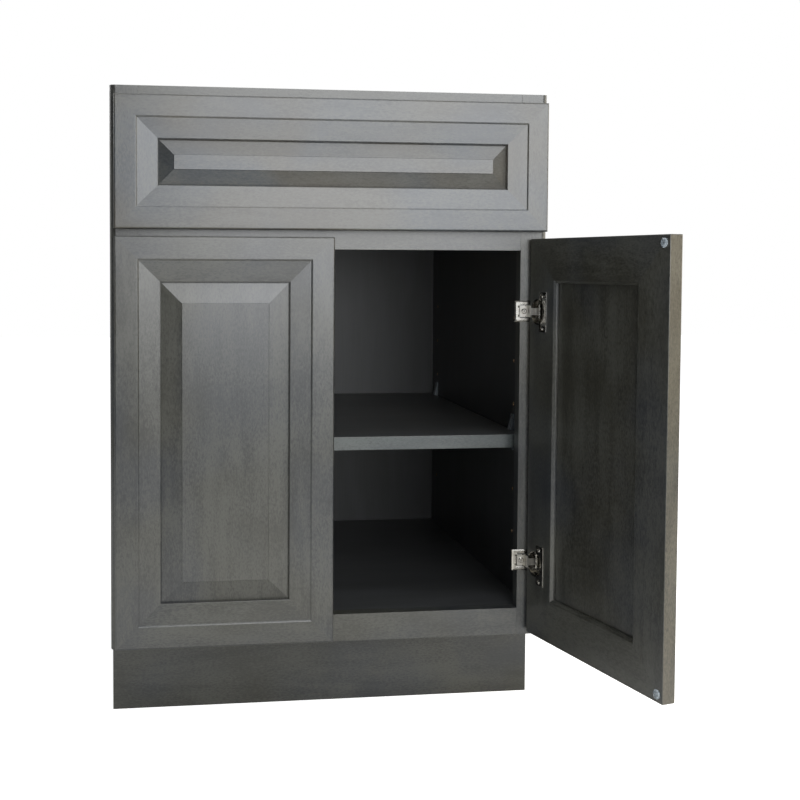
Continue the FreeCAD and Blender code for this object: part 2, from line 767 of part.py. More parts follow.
def bumpers(label, places, swing=None):
    """Soft pads on the back of a front, which land on the face frame."""
    pads = [
        turned("Part::Cone", f"{label}_{number}", (x, "fronts_back", z), "y", {
            "Height": "front_clearance - bumper_play",
            "Radius1": "bumper_radius", "Radius2": "bumper_tip_radius"})
        for number, (x, z) in enumerate(places, start=1)]
    put(piece(label, group(label, pads)), swing)


def open_door():
    """Turn about the right door's hinge pins, from shut to open."""
    angle = "right_door_angle"
    bind(doc.addObject("App::Placement", "right_door_swing"), {
        "Placement.Base.x": f"pin_x - (cos({angle}) * pin_x - sin({angle}) * pin_y)",
        "Placement.Base.y": f"pin_y - (sin({angle}) * pin_x + cos({angle}) * pin_y)",
        "Placement.Rotation.Angle": angle})
    return "right_door_swing.Placement"


def door(side, hand, swing=None):
    """One door with its hinges, modelled shut and then swung open if it stands open."""
    labels = {"bottom": "bottom_rail", "top": "top_rail"}
    hinge_edge, meeting_edge = ("left", "right") if side < 0 else ("right", "left")
    labels[hinge_edge] = "hinge_stile"
    labels[meeting_edge] = "meeting_stile"
    framed_front(
        f"{hand}_door", "door", span(side, "meeting_gap / 2", "fronts_edge"),
        ("door_low", "door_top"), labels, {hinge_edge: hinge_borings}, swing)
    free_x = on_side(side, "meeting_gap / 2 + bumper_inset")
    bumpers(f"{hand}_door_bumpers", [
        (free_x, "door_top - bumper_inset"), (free_x, "door_low + bumper_inset")], swing)
    return hinges(side, hand, swing)


# Drawer slides

def channel(name, side, web, lips, height):
    """Slide member: a web and two lips, open towards the lips."""
    low, high = about("slide_z", height)
    ys = ("slide_front", "slide_back")
    faces_out = value(lips) > value(web)
    floor = f"{web} {'+' if faces_out else '-'} slide_wall"
    bar_xs = (web, lips) if faces_out else (lips, web)
    hollow_xs = (floor, lips) if faces_out else (lips, floor)
    bar = block(f"{name}_bar", span(side, *bar_xs), ys, (low, high))
    hollow = block(
        f"{name}_hollow", span(side, *hollow_xs), ys,
        (f"{low} + slide_wall", f"{high} - slide_wall"))
    return cut(name, bar, [hollow])


def ball_cage(name, x, z, radius):
    """Strip with a row of steel balls in it, half way along the slide."""
    count = int(value("balls_per_cage"))
    strip = block(
        f"{name}_strip", about(x, "cage_width"),
        about("slide_middle_y", "ball_pitch * balls_per_cage"), about(z, "cage_thickness"))
    balls = []
    for number in range(count):
        steps = number - (count - 1) / 2
        balls.append(bind(doc.addObject("Part::Sphere", f"{name}_ball_{number + 1}"), {
            "Radius": radius, "Placement.Base.x": x, "Placement.Base.z": z,
            "Placement.Base.y": f"slide_middle_y + {steps} * ball_pitch"}))
    return fuse(name, [strip] + balls)


def drawer_slides():
    """Telescopic slides: a member on a cleat, one on the drawer, one between them, and the balls."""
    members = {
        "slide_cabinet_members": ("stile_edge", "cabinet_lips", "cabinet_member_height"),
        "slide_middle_members": ("middle_web", "middle_lips", "middle_member_height"),
        "slide_drawer_members": ("box_outer", "drawer_lips", "drawer_member_height"),
    }
    cages = {
        "outer_ball_cages": ("cabinet_lips", "middle_web", "cabinet_race", "middle_outer_race"),
        "inner_ball_cages": ("middle_lips", "drawer_lips", "middle_inner_race", "drawer_race"),
    }
    hands = ((-1, "left"), (1, "right"))
    for label, (web, lips, height) in members.items():
        piece(label, group(label, [
            channel(f"{hand}_{label}", side, web, lips, height) for side, hand in hands]))
    for label, (tip, root, far_race, near_race) in cages.items():
        strips = []
        for side, hand in hands:
            x = on_side(side, f"({tip} + {root}) / 2")
            for level, sign in (("top", "+"), ("bottom", "-")):
                z = f"slide_z {sign} ({far_race} + {near_race}) / 2"
                strips.append(ball_cage(
                    f"{hand}_{level}_{label}", x, z, f"({far_race} - {near_race}) / 2 - ball_play"))
        piece(label, group(label, strips))
    piece("slide_cleats", group("slide_cleats", [
        block(f"{hand}_slide_cleat", span(side, "stile_edge", "side_inner"),
              ("frame_back", "slide_back"), about("slide_z", "cleat_height"))
        for side, hand in hands]))


# Drawer

def drawer():
    edges = ("-(fronts_edge)", "fronts_edge")
    framed_front(
        "drawer_front", "drawer", edges, ("drawer_front_low", "drawer_front_top"),
        {"bottom": "bottom_rail", "top": "top_rail", "left": "left_stile", "right": "right_stile"},
        {"bottom": screw_borings, "top": screw_borings})
    corner_x = "fronts_edge - bumper_inset"
    corner_z = "drawer_front_low + bumper_inset"
    bumpers("drawer_bumpers", [(on_side(side, corner_x), corner_z) for side in (-1, 1)])
    across = about("0", "2 * (box_inner + drawer_dado)")
    zs = ("box_low", "box_top")
    bottom_low = "box_low + drawer_bottom_lift"
    bottom = piece("drawer_box_bottom", block(
        "drawer_box_bottom", across,
        ("fronts_back + drawer_side_thickness - drawer_dado",
         "box_back - drawer_side_thickness + drawer_dado"),
        (bottom_low, f"{bottom_low} + drawer_bottom_thickness")))
    screws = []
    for place, sign, edge in (("upper", "-", "drawer_front_top"), ("lower", "+", "drawer_front_low")):
        for side, hand in ((-1, "left"), (1, "right")):
            screws.append(screw(
                f"{hand}_{place}_front_screw",
                (on_side(side, "front_screw_spread / 2"), "fronts_back + drawer_side_thickness",
                 f"{edge} {sign} front_screw_inset"),
                "-y", "front_screw_head_height", "front_screw_head_radius",
                "drawer_side_thickness + front_screw_depth", "front_screw_radius"))
    ends = []
    for label, ys, fixings in (
            ("drawer_box_front", ("fronts_back", "fronts_back + drawer_side_thickness"), screws),
            ("drawer_box_back", ("box_back - drawer_side_thickness", "box_back"), [])):
        board = block(f"{label}_board", across, ys, zs)
        ends.append(piece(label, cut(label, board, [bottom] + fixings)))
    for side, hand in ((-1, "left"), (1, "right")):
        label = f"drawer_box_{hand}_side"
        board = block(
            f"{label}_board", span(side, "box_inner", "box_outer"), ("fronts_back", "box_back"), zs)
        piece(label, cut(label, board, ends + [bottom]))
    piece("drawer_front_screws", group("drawer_front_screws", screws))


carcass_panels()
corner_braces()
shelf_and_clips()
drawer_slides()
drawer()
screws_in_frame = {}
all_base_screws = []
all_adjusters = []
for door_side, door_hand, door_swing in ((-1, "left", None), (1, "right", open_door())):
    base_screws, adjusters = door(door_side, door_hand, door_swing)
    screws_in_frame[door_hand] = base_screws
    all_base_screws += base_screws
    all_adjusters += adjusters
face_frame(screws_in_frame)
piece("hinge_base_screws", group("hinge_base_screws", all_base_screws))
piece("hinge_adjusting_screws", group("hinge_adjusting_screws", all_adjusters))
doc.recompute()

for item in doc.Objects:
    if "Invalid" in item.State or "Error" in item.State:
        raise RuntimeError(f"{item.Label} failed: {item.State}")
for item in pieces:
    if item.Shape.isNull() or not item.Shape.isValid():
        raise RuntimeError(f"{item.Label} has no valid shape")

os.makedirs("parts", exist_ok=True)
for item in pieces:
    item.Shape.exportStep(f"parts/{item.Label}.step")
    print(item.Label, len(item.Shape.Solids), round(item.Shape.Volume, 1))
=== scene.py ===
import functools
import json
import math

import bmesh
import bpy
from mathutils import Matrix, Vector

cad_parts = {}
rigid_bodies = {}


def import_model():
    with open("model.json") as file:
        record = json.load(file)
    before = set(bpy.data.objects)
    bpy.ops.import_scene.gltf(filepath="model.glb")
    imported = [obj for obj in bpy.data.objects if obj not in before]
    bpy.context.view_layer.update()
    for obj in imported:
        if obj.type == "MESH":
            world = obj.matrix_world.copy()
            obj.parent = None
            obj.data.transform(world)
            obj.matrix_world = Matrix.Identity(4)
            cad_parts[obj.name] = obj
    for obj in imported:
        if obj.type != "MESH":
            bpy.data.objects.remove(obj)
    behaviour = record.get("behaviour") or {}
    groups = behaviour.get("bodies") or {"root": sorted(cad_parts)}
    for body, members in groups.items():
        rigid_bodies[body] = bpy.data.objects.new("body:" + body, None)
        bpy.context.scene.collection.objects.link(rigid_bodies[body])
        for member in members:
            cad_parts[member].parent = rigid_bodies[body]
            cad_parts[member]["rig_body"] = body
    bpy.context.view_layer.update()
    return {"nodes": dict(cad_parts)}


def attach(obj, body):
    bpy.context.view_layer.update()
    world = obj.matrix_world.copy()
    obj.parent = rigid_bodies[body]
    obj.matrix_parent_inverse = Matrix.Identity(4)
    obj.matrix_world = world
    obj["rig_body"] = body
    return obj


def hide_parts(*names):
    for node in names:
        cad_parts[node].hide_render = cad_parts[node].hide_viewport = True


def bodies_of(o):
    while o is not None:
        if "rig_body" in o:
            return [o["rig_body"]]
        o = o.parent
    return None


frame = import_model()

NODES = frame["nodes"]
MM = 0.001

# The right door stands open; its boards and screws are turned by this much
OPEN_ANGLE = math.radians(104)

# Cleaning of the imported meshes, easing of their edges and the limits for finding these
MERGE = 0.002 * MM
FLAT = math.radians(1)
SHARP = math.radians(25)
LONG_EDGE = 5 * MM
EASE_STEPS = 4
FACING_MATCH = 0.95
LEAST_SLOPE = 0.1
MITRE_MARGIN = 0.1


class Socket:
    """An output socket that takes Python arithmetic, with one Math node for each step."""

    def __init__(self, tree, link):
        self.tree = tree
        self.link = link

    def step(self, operation, first, second):
        return self.tree.node("ShaderNodeMath", {"operation": operation}, {0: first, 1: second})

    def __add__(self, other):
        return self.step("ADD", self, other)

    def __radd__(self, other):
        return self.step("ADD", other, self)

    def __sub__(self, other):
        return self.step("SUBTRACT", self, other)

    def __rsub__(self, other):
        return self.step("SUBTRACT", other, self)

    def __mul__(self, other):
        return self.step("MULTIPLY", self, other)

    def __rmul__(self, other):
        return self.step("MULTIPLY", other, self)


class Tree:
    """A node tree being built. node() adds any node; the rest are mixes that the finishes share."""

    def __init__(self, nodes):
        self.nodes = nodes
        nodes.nodes.clear()

    def node(self, kind, settings, sockets, output=0):
        made = self.nodes.nodes.new(kind)
        for name, value in settings.items():
            setattr(made, name, value)
        for name, value in sockets.items():
            for part in value if isinstance(value, list) else [value]:
                if isinstance(part, Socket):
                    self.nodes.links.new(part.link, made.inputs[name])
                else:
                    made.inputs[name].default_value = part
        return Socket(self, made.outputs[output]) if made.outputs else None

    def points(self):
        return self.node("ShaderNodeTexCoord", {}, {}, "Object")

    def board(self, place, turn=0.0, stretch=(1, 1, 1)):
        """Object coordinates in a board's own frame, drawn out by stretch along each axis."""
        return self.node("ShaderNodeMapping", {"vector_type": "TEXTURE"}, {
            "Vector": self.points(), "Location": place, "Rotation": (0, 0, turn), "Scale": stretch})

    def noise(self, points, scale, detail=2.0, rough=0.5, bend=0.0):
        return self.node("ShaderNodeTexNoise", {}, {
            "Vector": points, "Scale": scale, "Detail": detail, "Roughness": rough, "Distortion": bend})

    def spread(self, value, low, high):
        """The value from low to high taken to 0 to 1, with soft ends."""
        return self.node("ShaderNodeMapRange", {"interpolation_type": "SMOOTHSTEP"}, {
            "Value": value, "From Min": low, "From Max": high, "To Min": 0.0, "To Max": 1.0})

    def mix(self, share, first, second):
        return self.node("ShaderNodeMix", {"data_type": "RGBA"}, {0: share, 6: first, 7: second}, 2)

    def bump(self, height, strength, distance):
        return self.node("ShaderNodeBump", {}, {
            "Strength": strength, "Distance": distance, "Height": height})

    def surface(self, sockets):
        shader = self.node("ShaderNodeBsdfPrincipled", {}, sockets)
        self.node("ShaderNodeOutputMaterial", {}, {"Surface": shader})


def new_finish(name):
    material = bpy.data.materials.new(name)
    material.use_nodes = True
    return material, Tree(material.node_tree)


def tint(red, green, blue):
    """A colour named by its 0 to 255 screen values, as linear red, green, blue and alpha."""
    parts = [value / 255 for value in (red, green, blue)]
    linear = [part / 12.92 if part <= 0.04045 else ((part + 0.055) / 1.055) ** 2.4 for part in parts]
    return (*linear, 1.0)


def drawn_out(grain, length):
    """Stretch along a grain axis X, Y or Z."""
    return tuple(length if axis == grain else 1.0 for axis in "XYZ")


TIMBER_STEP = (0.731, 0.417, 0.593)
TIMBER_SPAN = (3.0, 2.0, 2.5)


def timber(number):
    """A different stretch of the timber for each board or front."""
    return tuple(step * number % span for step, span in zip(TIMBER_STEP, TIMBER_SPAN))


# Wood finishes. The number of a front or board picks its stretch of timber

STAIN = {
    "olive": tint(51, 50, 43), "blue": tint(47, 49, 52), "pale": tint(78, 78, 72), "deep": tint(26, 26, 24)}
DRAWER_STAIN = {**STAIN, "olive": tint(55, 50, 40), "blue": tint(43, 49, 56)}
# Stain of the shelf's front band: a lighter, bluer copy of the grey stain. Its lift is painted light that
# brightens the shelf's lit front edge
BAND_STAIN_AND_PAINTED_LIGHT = {
    "olive": tint(64, 69, 66), "blue": tint(62, 68, 69), "pale": tint(86, 91, 89), "deep": tint(40, 42, 42)}
# Stain of the doors' meeting edges, lighter and warmer than the faces: partly the edge's own stain, partly
# painted light that brightens the open door's free edge
EDGE_STAIN_AND_PAINTED_LIGHT = {
    "olive": tint(77, 71, 58), "blue": tint(72, 71, 64),
    "pale": tint(106, 101, 87), "deep": tint(40, 37, 31)}
BOARD_TONES = tint(53, 54, 54), tint(61, 62, 63)
SHELF_TONES = tint(60, 61, 61), tint(69, 70, 71)
RAW_TONES = tint(168, 134, 94), tint(200, 168, 126)
PINE_TONES = tint(186, 152, 106), tint(214, 184, 138)
BIRCH_TONES = tint(198, 168, 124), tint(224, 199, 158)
PORE_TONE = tint(132, 96, 60)
LACQUER_IOR = 1.75


def stained_wood(name, front, board, grain, turn=0.0, stain=STAIN):
    """Grey stain on maple under satin lacquer. The blotches run on over a whole front, the grain is
    each board's own: faint figure, fine pepper and short dark pores."""
    material, finish = new_finish(name)
    front_place, hue_place, own = timber(front), timber(front + 5), timber(board)

    def along(stretch):
        return finish.board(own, turn, drawn_out(grain, stretch))

    clouds = finish.noise(finish.board(front_place, turn), scale=12.0, bend=0.5)
    front_hue = finish.noise(finish.board(hue_place, turn), scale=8.0, detail=1.0, bend=0.3)
    board_hue = finish.noise(along(2.0), scale=7.0, detail=1.0)
    figure = finish.noise(along(6.0), scale=46.0, detail=3.0, rough=0.6, bend=0.7)
    pepper = finish.noise(along(2.6), scale=520.0, detail=3.0, rough=0.7)
    flecks = finish.noise(along(5.0), scale=780.0, detail=2.0, rough=0.65)
    hue = finish.spread(0.5 * front_hue + 0.5 * board_hue, low=0.40, high=0.60)
    light = finish.spread(0.25 * clouds + 0.25 * figure + 0.5 * pepper, low=0.42, high=0.62)
    dark = finish.spread(0.35 * figure + 0.65 * pepper, low=0.51, high=0.36)
    pores = finish.spread(flecks, low=0.60, high=0.74)
    colour = finish.mix(hue, stain["olive"], stain["blue"])
    colour = finish.mix(0.66 * light, colour, stain["pale"])
    colour = finish.mix(0.5 * dark + 0.4 * pores, colour, stain["deep"])
    relief = 0.6 * pepper + 0.4 * flecks - 0.5 * pores
    finish.surface({
        "Base Color": colour, "IOR": LACQUER_IOR,
        "Roughness": 0.23 + 0.06 * clouds + 0.11 * pepper,
        "Normal": finish.bump(relief, strength=0.44, distance=0.12 * MM)})
    return material


def dark_board(name, board, grain, tones=BOARD_TONES):
    """Dark grey printed board inside the cabinet, nearly plain."""
    material, finish = new_finish(name)
    own = timber(board)
    figure = finish.noise(
        finish.board(own, stretch=drawn_out(grain, 5.0)), scale=22.0, detail=2.0, bend=0.4)
    lines = finish.noise(
        finish.board(own, stretch=drawn_out(grain, 30.0)), scale=420.0, detail=2.0, rough=0.6)
    colour = finish.mix(finish.spread(0.7 * figure + 0.3 * lines, low=0.34, high=0.68), *tones)
    finish.surface({
        "Base Color": colour, "Roughness": 0.36 + 0.08 * lines,
        "Normal": finish.bump(lines, strength=0.08, distance=0.1 * MM)})
    return material


def pale_wood(name, board, grain, tones, gloss):
    """Unstained timber: figure between two tones, fine lines and short brown pores."""
    material, finish = new_finish(name)
    own = timber(board)
    figure = finish.noise(
        finish.board(own, stretch=drawn_out(grain, 8.0)), scale=48.0, detail=3.0, rough=0.55, bend=1.1)
    lines = finish.noise(
        finish.board(own, stretch=drawn_out(grain, 22.0)), scale=460.0, detail=2.0, rough=0.6)
    flecks = finish.noise(finish.board(own, stretch=drawn_out(grain, 12.0)), scale=900.0, detail=1.0)
    pores = finish.spread(flecks, low=0.63, high=0.74)
    colour = finish.mix(finish.spread(0.6 * figure + 0.4 * lines, low=0.34, high=0.66), *tones)
    colour = finish.mix(0.5 * pores, colour, PORE_TONE)
    finish.surface({
        "Base Color": colour, "Roughness": gloss + 0.12 * lines,
        "Normal": finish.bump(lines - 0.7 * pores, strength=0.12, distance=0.25 * MM)})
    return material


def ply_edge(name, across, ply):
    """Sawn plywood edge: plies stacked along one axis, long grain and end grain by turns."""
    material, finish = new_finish(name)
    depth = finish.node("ShaderNodeSeparateXYZ", {}, {"Vector": finish.points()}, across)
    layer = finish.node("ShaderNodeMath", {"operation": "PINGPONG"}, {0: depth, 1: ply})
    fibres = finish.noise(finish.points(), scale=700.0, detail=3.0, rough=0.6)
    share = finish.spread(layer * (1 / ply) + 0.35 * fibres, low=0.45, high=0.85)
    colour = finish.mix(share, tint(150, 118, 84), tint(204, 174, 134))
    finish.surface({
        "Base Color": colour, "Roughness": 0.62 + 0.2 * fibres,
        "Normal": finish.bump(fibres, strength=0.25, distance=0.3 * MM)})
    return material


# Metal and plastic finishes

def nickel_plate(name, gloss):
    """Nickel plate with a faint haze."""
    material, finish = new_finish(name)
    haze = finish.noise(finish.points(), scale=180.0, detail=3.0, rough=0.6)
    hazy = finish.spread(haze, low=0.35, high=0.7)
    colour = finish.mix(hazy, tint(176, 174, 169), tint(162, 159, 152))
    finish.surface({
        "Base Color": colour, "Metallic": 1.0, "Roughness": gloss + 0.14 * haze,
        "Normal": finish.bump(haze, strength=0.04, distance=0.05 * MM)})
    return material


def zinc_plate(name):
    """Zinc-plated steel with a fine spangle, drawn along the slide."""
    material, finish = new_finish(name)
    spangle = finish.node(
        "ShaderNodeTexVoronoi", {}, {"Vector": finish.points(), "Scale": 210.0}, "Color")
    grey = finish.node("ShaderNodeRGBToBW", {}, {"Color": spangle})
    along = finish.board((0, 0, 0), stretch=drawn_out("Y", 40.0))
    drawn = finish.noise(along, scale=1800.0, detail=1.0)
    colour = finish.mix(0.6 * grey + 0.4 * drawn, tint(176, 179, 183), tint(206, 208, 210))
    finish.surface({
        "Base Color": colour, "Metallic": 1.0, "Roughness": 0.28 + 0.14 * drawn,
        "Normal": finish.bump(drawn, strength=0.06, distance=0.05 * MM)})
    return material


def clear_moulding(name):
    """Clear soft plastic, a little cloudy."""
    material, finish = new_finish(name)
    cloud = finish.noise(finish.points(), scale=320.0)
    cloudy = finish.spread(cloud, low=0.3, high=0.7)
    colour = finish.mix(cloudy, tint(176, 185, 192), tint(200, 208, 213))
    finish.surface({
        "Base Color": colour, "Roughness": 0.10 + 0.14 * cloud, "IOR": 1.46,
        "Transmission Weight": 0.65, "Normal": finish.bump(cloud, strength=0.08, distance=0.1 * MM)})
    return material


NICKEL = nickel_plate("bright_nickel", gloss=0.12)
PRESSED_NICKEL = nickel_plate("pressed_nickel", gloss=0.26)
ZINC = zinc_plate("zinc_plate")
CLEAR = clear_moulding("clear_moulding")
PLY = 1.8 * MM
PLY_X, PLY_Y, PLY_Z = (ply_edge(f"ply_edge_{axis}", axis, PLY) for axis in "XYZ")


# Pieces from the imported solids

FACINGS = {
    "left": Vector((-1, 0, 0)), "right": Vector((1, 0, 0)), "front": Vector((0, -1, 0)),
    "rear": Vector((0, 1, 0)), "under": Vector((0, 0, -1)), "top": Vector((0, 0, 1))}
FACINGS["left_door_edge"] = FACINGS["right"]
FACINGS["right_door_edge"] = Matrix.Rotation(OPEN_ANGLE, 3, "Z") @ FACINGS["left"]


def body_of(node):
    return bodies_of(NODES[node])[0]


def put(name, mesh, slot, *nodes):
    """A finished piece in the scene, riding on its nodes' body in their place."""
    made = bpy.data.objects.new(name, mesh)
    bpy.context.scene.collection.objects.link(made)
    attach(made, body_of(nodes[0]))
    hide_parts(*nodes)
    return made


def shape_of(node):
    """The node's own form as closed solids, with flat faces whole again."""
    shape = bmesh.new()
    shape.from_mesh(NODES[node].data)
    bmesh.ops.remove_doubles(shape, verts=shape.verts, dist=MERGE)
    bmesh.ops.dissolve_limit(shape, angle_limit=FLAT, verts=shape.verts, edges=shape.edges)
    return shape


def mesh_from(shape, name, finishes):
    mesh = bpy.data.meshes.new(name)
    shape.to_mesh(mesh)
    shape.free()
    for finish in finishes:
        mesh.materials.append(finish)
    return mesh


def ease(shape, width, picks=None):
    """Rounds the long sharp outer edges, or those of them that picks chooses."""
    edges = [
        edge for edge in shape.edges
        if len(edge.link_faces) == 2 and edge.is_convex and edge.calc_face_angle(0.0) > SHARP
        and edge.calc_length() > LONG_EDGE and (picks is None or picks(edge))]
    bmesh.ops.bevel(
        shape, geom=edges, offset=width, offset_type="OFFSET", segments=EASE_STEPS, profile=0.5,
        affect="EDGES", clamp_overlap=True)
    shape.normal_update()


def baked(holder):
    """The holder's mesh with its modifiers worked in. The holder is used up."""
    graph = bpy.context.evaluated_depsgraph_get()
    mesh = bpy.data.meshes.new_from_object(holder.evaluated_get(graph))
    holder.modifiers.clear()
    bpy.data.objects.remove(holder)
    return mesh


def add_solid(shape, corners):
    """Adds the convex solid round the given corners, in millimetres."""
    verts = [shape.verts.new(Vector(corner) * MM) for corner in corners]
    bmesh.ops.convex_hull(shape, input=verts)


def carved(shape, solids):
    """The shape with solids, which do not touch one another, cut out of it."""
    tools = bmesh.new()
    for corners in solids:
        add_solid(tools, corners)
    bmesh.ops.recalc_face_normals(tools, faces=tools.faces)
    tool = bpy.data.objects.new("tool", mesh_from(tools, "tool", []))
    holder = bpy.data.objects.new("carving", mesh_from(shape, "carving", []))
    for made in (tool, holder):
        bpy.context.scene.collection.objects.link(made)
    cut = holder.modifiers.new("cut", "BOOLEAN")
    cut.operation = "DIFFERENCE"
    cut.solver = "EXACT"
    cut.object = tool
    result = bmesh.new()
    result.from_mesh(baked(holder))
    bpy.data.objects.remove(tool)
    bmesh.ops.dissolve_limit(result, angle_limit=FLAT, verts=result.verts, edges=result.edges)
    return result


def eased(node, slot, eases, finish, skins=None, cuts=()):
    """The node with rounds of cuts made in it and its edges eased. Skins gives the faces that look one
    way another finish."""
    shape = shape_of(node)
    for solids in cuts:
        shape = carved(shape, solids)
    for width, picks in eases:
        ease(shape, width, picks)
    finishes = [finish]
    for facing, skin in (skins or {}).items():
        finishes.append(skin)
        for face in shape.faces:
            if face.normal.dot(FACINGS[facing]) > FACING_MATCH:
                face.material_index = len(finishes) - 1
    return put(node + "_eased", mesh_from(shape, node, finishes), slot, node)


def is_square(edge):
    """True for edges along or across a front. Those of its mitre cuts stay tight."""
    along = (edge.verts[1].co - edge.verts[0].co).normalized()
    flat = math.hypot(along.x, along.y)
    return abs(flat - abs(along.z)) > MITRE_MARGIN


def is_outer_arris(edge):
    """True for the long front edges at the two sides of the face frame."""
    return all(abs(vert.co.x) > FRAME_SIDE and vert.co.y < FRAME_FRONT for vert in edge.verts)


def is_moulding(edge, turn):
    """True for the edges where a front's face turns into the slope of its moulding."""
    outward = Matrix.Rotation(turn, 3, "Z") @ FACINGS["front"]
    slope, face = sorted(side.normal.dot(outward) for side in edge.link_faces)
    return is_square(edge) and face > FACING_MATCH and LEAST_SLOPE < slope < FACING_MATCH


# Stained fronts, face frame and toe board

FRONT_EASE = 0.7 * MM
MOULDING_EASE = 0.8 * MM
FRAME_EASE = 0.25 * MM
ARRIS_EASE = 8 * MM
FRAME_SIDE, FRAME_FRONT = 0.3047, -0.6095
FRAME = {
    "frame_left_stile": "Z", "frame_right_stile": "Z", "frame_top_rail": "X",
    "frame_middle_rail": "X", "frame_bottom_rail": "X", "toe_kick_board": "X"}
FRAME_NUMBER, FIRST_FRONT_NUMBER = 1, 2
EDGE_NUMBER, FIRST_EDGE_BOARD = 9, 40
DOOR_PARTS = {"hinge_stile": "Z", "meeting_stile": "Z", "top_rail": "X", "bottom_rail": "X", "panel": "Z"}
DRAWER_PARTS = {"left_stile": "Z", "right_stile": "Z", "top_rail": "X", "bottom_rail": "X", "panel": "X"}
FRONTS = {
    "left_door": (DOOR_PARTS, 0.0, STAIN), "right_door": (DOOR_PARTS, OPEN_ANGLE, STAIN),
    "drawer_front": (DRAWER_PARTS, 0.0, DRAWER_STAIN)}

board_number = 0
for node, grain in FRAME.items():
    board_number += 1
    stain = stained_wood(node + "_stain", FRAME_NUMBER, board_number, grain)
    eased(node, "grey_stain", [(ARRIS_EASE, is_outer_arris), (FRAME_EASE, None)], stain)
for front_number, (front, (parts, turn, tints)) in enumerate(FRONTS.items(), FIRST_FRONT_NUMBER):
    moulding = functools.partial(is_moulding, turn=turn)
    for part, grain in parts.items():
        board_number += 1
        node = f"{front}_{part}"
        stain = stained_wood(node + "_stain", front_number, board_number, grain, turn, tints)
        skins = {}
        # The meeting stile's edge takes the lighter edge stain, which is partly painted light
        if part == "meeting_stile":
            edge_board = FIRST_EDGE_BOARD + board_number
            skins[front + "_edge"] = stained_wood(
                node + "_edge", EDGE_NUMBER, edge_board, grain, turn, EDGE_STAIN_AND_PAINTED_LIGHT)
        eased(node, "grey_stain", [(MOULDING_EASE, moulding), (FRONT_EASE, is_square)], stain, skins)

# Plywood carcass

BOARD_EASES = [(0.4 * MM, None)]
RAW_GLOSS, PINE_GLOSS, BIRCH_GLOSS = 0.6, 0.58, 0.34
side_inside = dark_board("side_inside", board=31, grain="Z")
for side, inside, board in (("left", "right", 54), ("right", "left", 55)):
    veneer = stained_wood(f"{side}_side_veneer", front=6, board=board, grain="Z")
    eased(f"{side}_side_panel", "side_board", BOARD_EASES, PLY_X, {inside: side_inside, side: veneer})
eased("back_panel", "dark_interior", BOARD_EASES, PLY_Y, {
    "front": dark_board("back_inside", board=34, grain="Z"),
    "rear": pale_wood("raw_back", board=42, grain="Z", tones=RAW_TONES, gloss=RAW_GLOSS)})
eased("bottom_panel", "dark_interior", BOARD_EASES, PLY_Z, {
    "top": dark_board("floor_inside", board=36, grain="X"),
    "under": pale_wood("raw_under", board=45, grain="X", tones=RAW_TONES, gloss=RAW_GLOSS)})
shelf_face = dark_board("shelf_face", board=39, grain="X", tones=SHELF_TONES)
# The shelf's front band takes the lighter band stain, which carries painted light
eased("shelf", "dark_interior", BOARD_EASES, shelf_face, {
    "front": stained_wood("shelf_band_painted_light", front=7, board=48, grain="X", stain=BAND_STAIN_AND_PAINTED_LIGHT), "rear": PLY_Z})

# Unstained timber

RAW = {"rear_top_rail": "X", "rear_bottom_rail": "X", "corner_braces": "X", "slide_cleats": "Y"}
BOX = {
    "drawer_box_left_side": "Y", "drawer_box_right_side": "Y", "drawer_box_front": "X",
    "drawer_box_back": "X", "drawer_box_bottom": "X"}
FIRST_PINE_BOARD, FIRST_BIRCH_BOARD = 60, 70
for board, (node, grain) in enumerate(RAW.items(), FIRST_PINE_BOARD):
    eased(node, "raw_wood", BOARD_EASES, pale_wood(node + "_pine", board, grain, PINE_TONES, PINE_GLOSS))
for board, (node, grain) in enumerate(BOX.items(), FIRST_BIRCH_BOARD):
    birch = pale_wood(node + "_birch", board, grain, BIRCH_TONES, BIRCH_GLOSS)
    eased(node, "drawer_birch", BOARD_EASES, birch)

# Hinges, clips and slides

HINGE_EASES = [(0.2 * MM, None)]
CLIP_EASES = [(0.4 * MM, None)]
HINGE_HEIGHTS = (217.8, 572.4)
# Cuts that shape the pressed plates of a right hinge, in millimetres, with heights from its middle
WHOLE_WIDTH = (257.0, 283.0)
WHOLE_HEIGHT = (-16.0, 16.0)
LIP_SLOPE = [(258.0, -609.9), (258.0, -611.9), (262.0, -611.9)]
END_SLOPE = [(15.5, -609.9), (15.5, -611.9), (11.6, -611.9)]
CORNER_HOLES = (263.1, 265.5), (-613.0, -608.0), (5.0, 8.1)
FOOT_GAP = (264.6, 265.5), (-612.0, -609.0), (-4.6, 4.6)
EDGE_GAPS = (266.3, 282.0), (-612.0, -609.0), (8.1, 9.4)
WAIST_NOTCHES = (273.4, 275.2), (-614.0, -608.0), (6.4, 9.0)
ARM_DIP = [(275.5, -625.6), (283.6, -625.6), (283.6, -624.3), (275.5, -624.95)]
ARM_TAIL = [(286.6, 0.0), (291.5, 3.8), (291.5, -3.8)]
ARM_FACES = (-625.6, -622.0)


def block_corners(xs, ys, zs):
    return [(x, y, z) for x in xs for y in ys for z in zs]


def both_ends(xs, ys, zs):
    """A block and its mirror below the hinge's middle."""
    return [block_corners(xs, ys, zs), block_corners(xs, ys, [-z for z in zs])]


def at_hinges(sign, solids):
    """The solids of a right hinge, brought to both hinges of one hand."""
    return [
        [(sign * x, y, z + height) for x, y, z in corners] for height in HINGE_HEIGHTS for corners in solids]


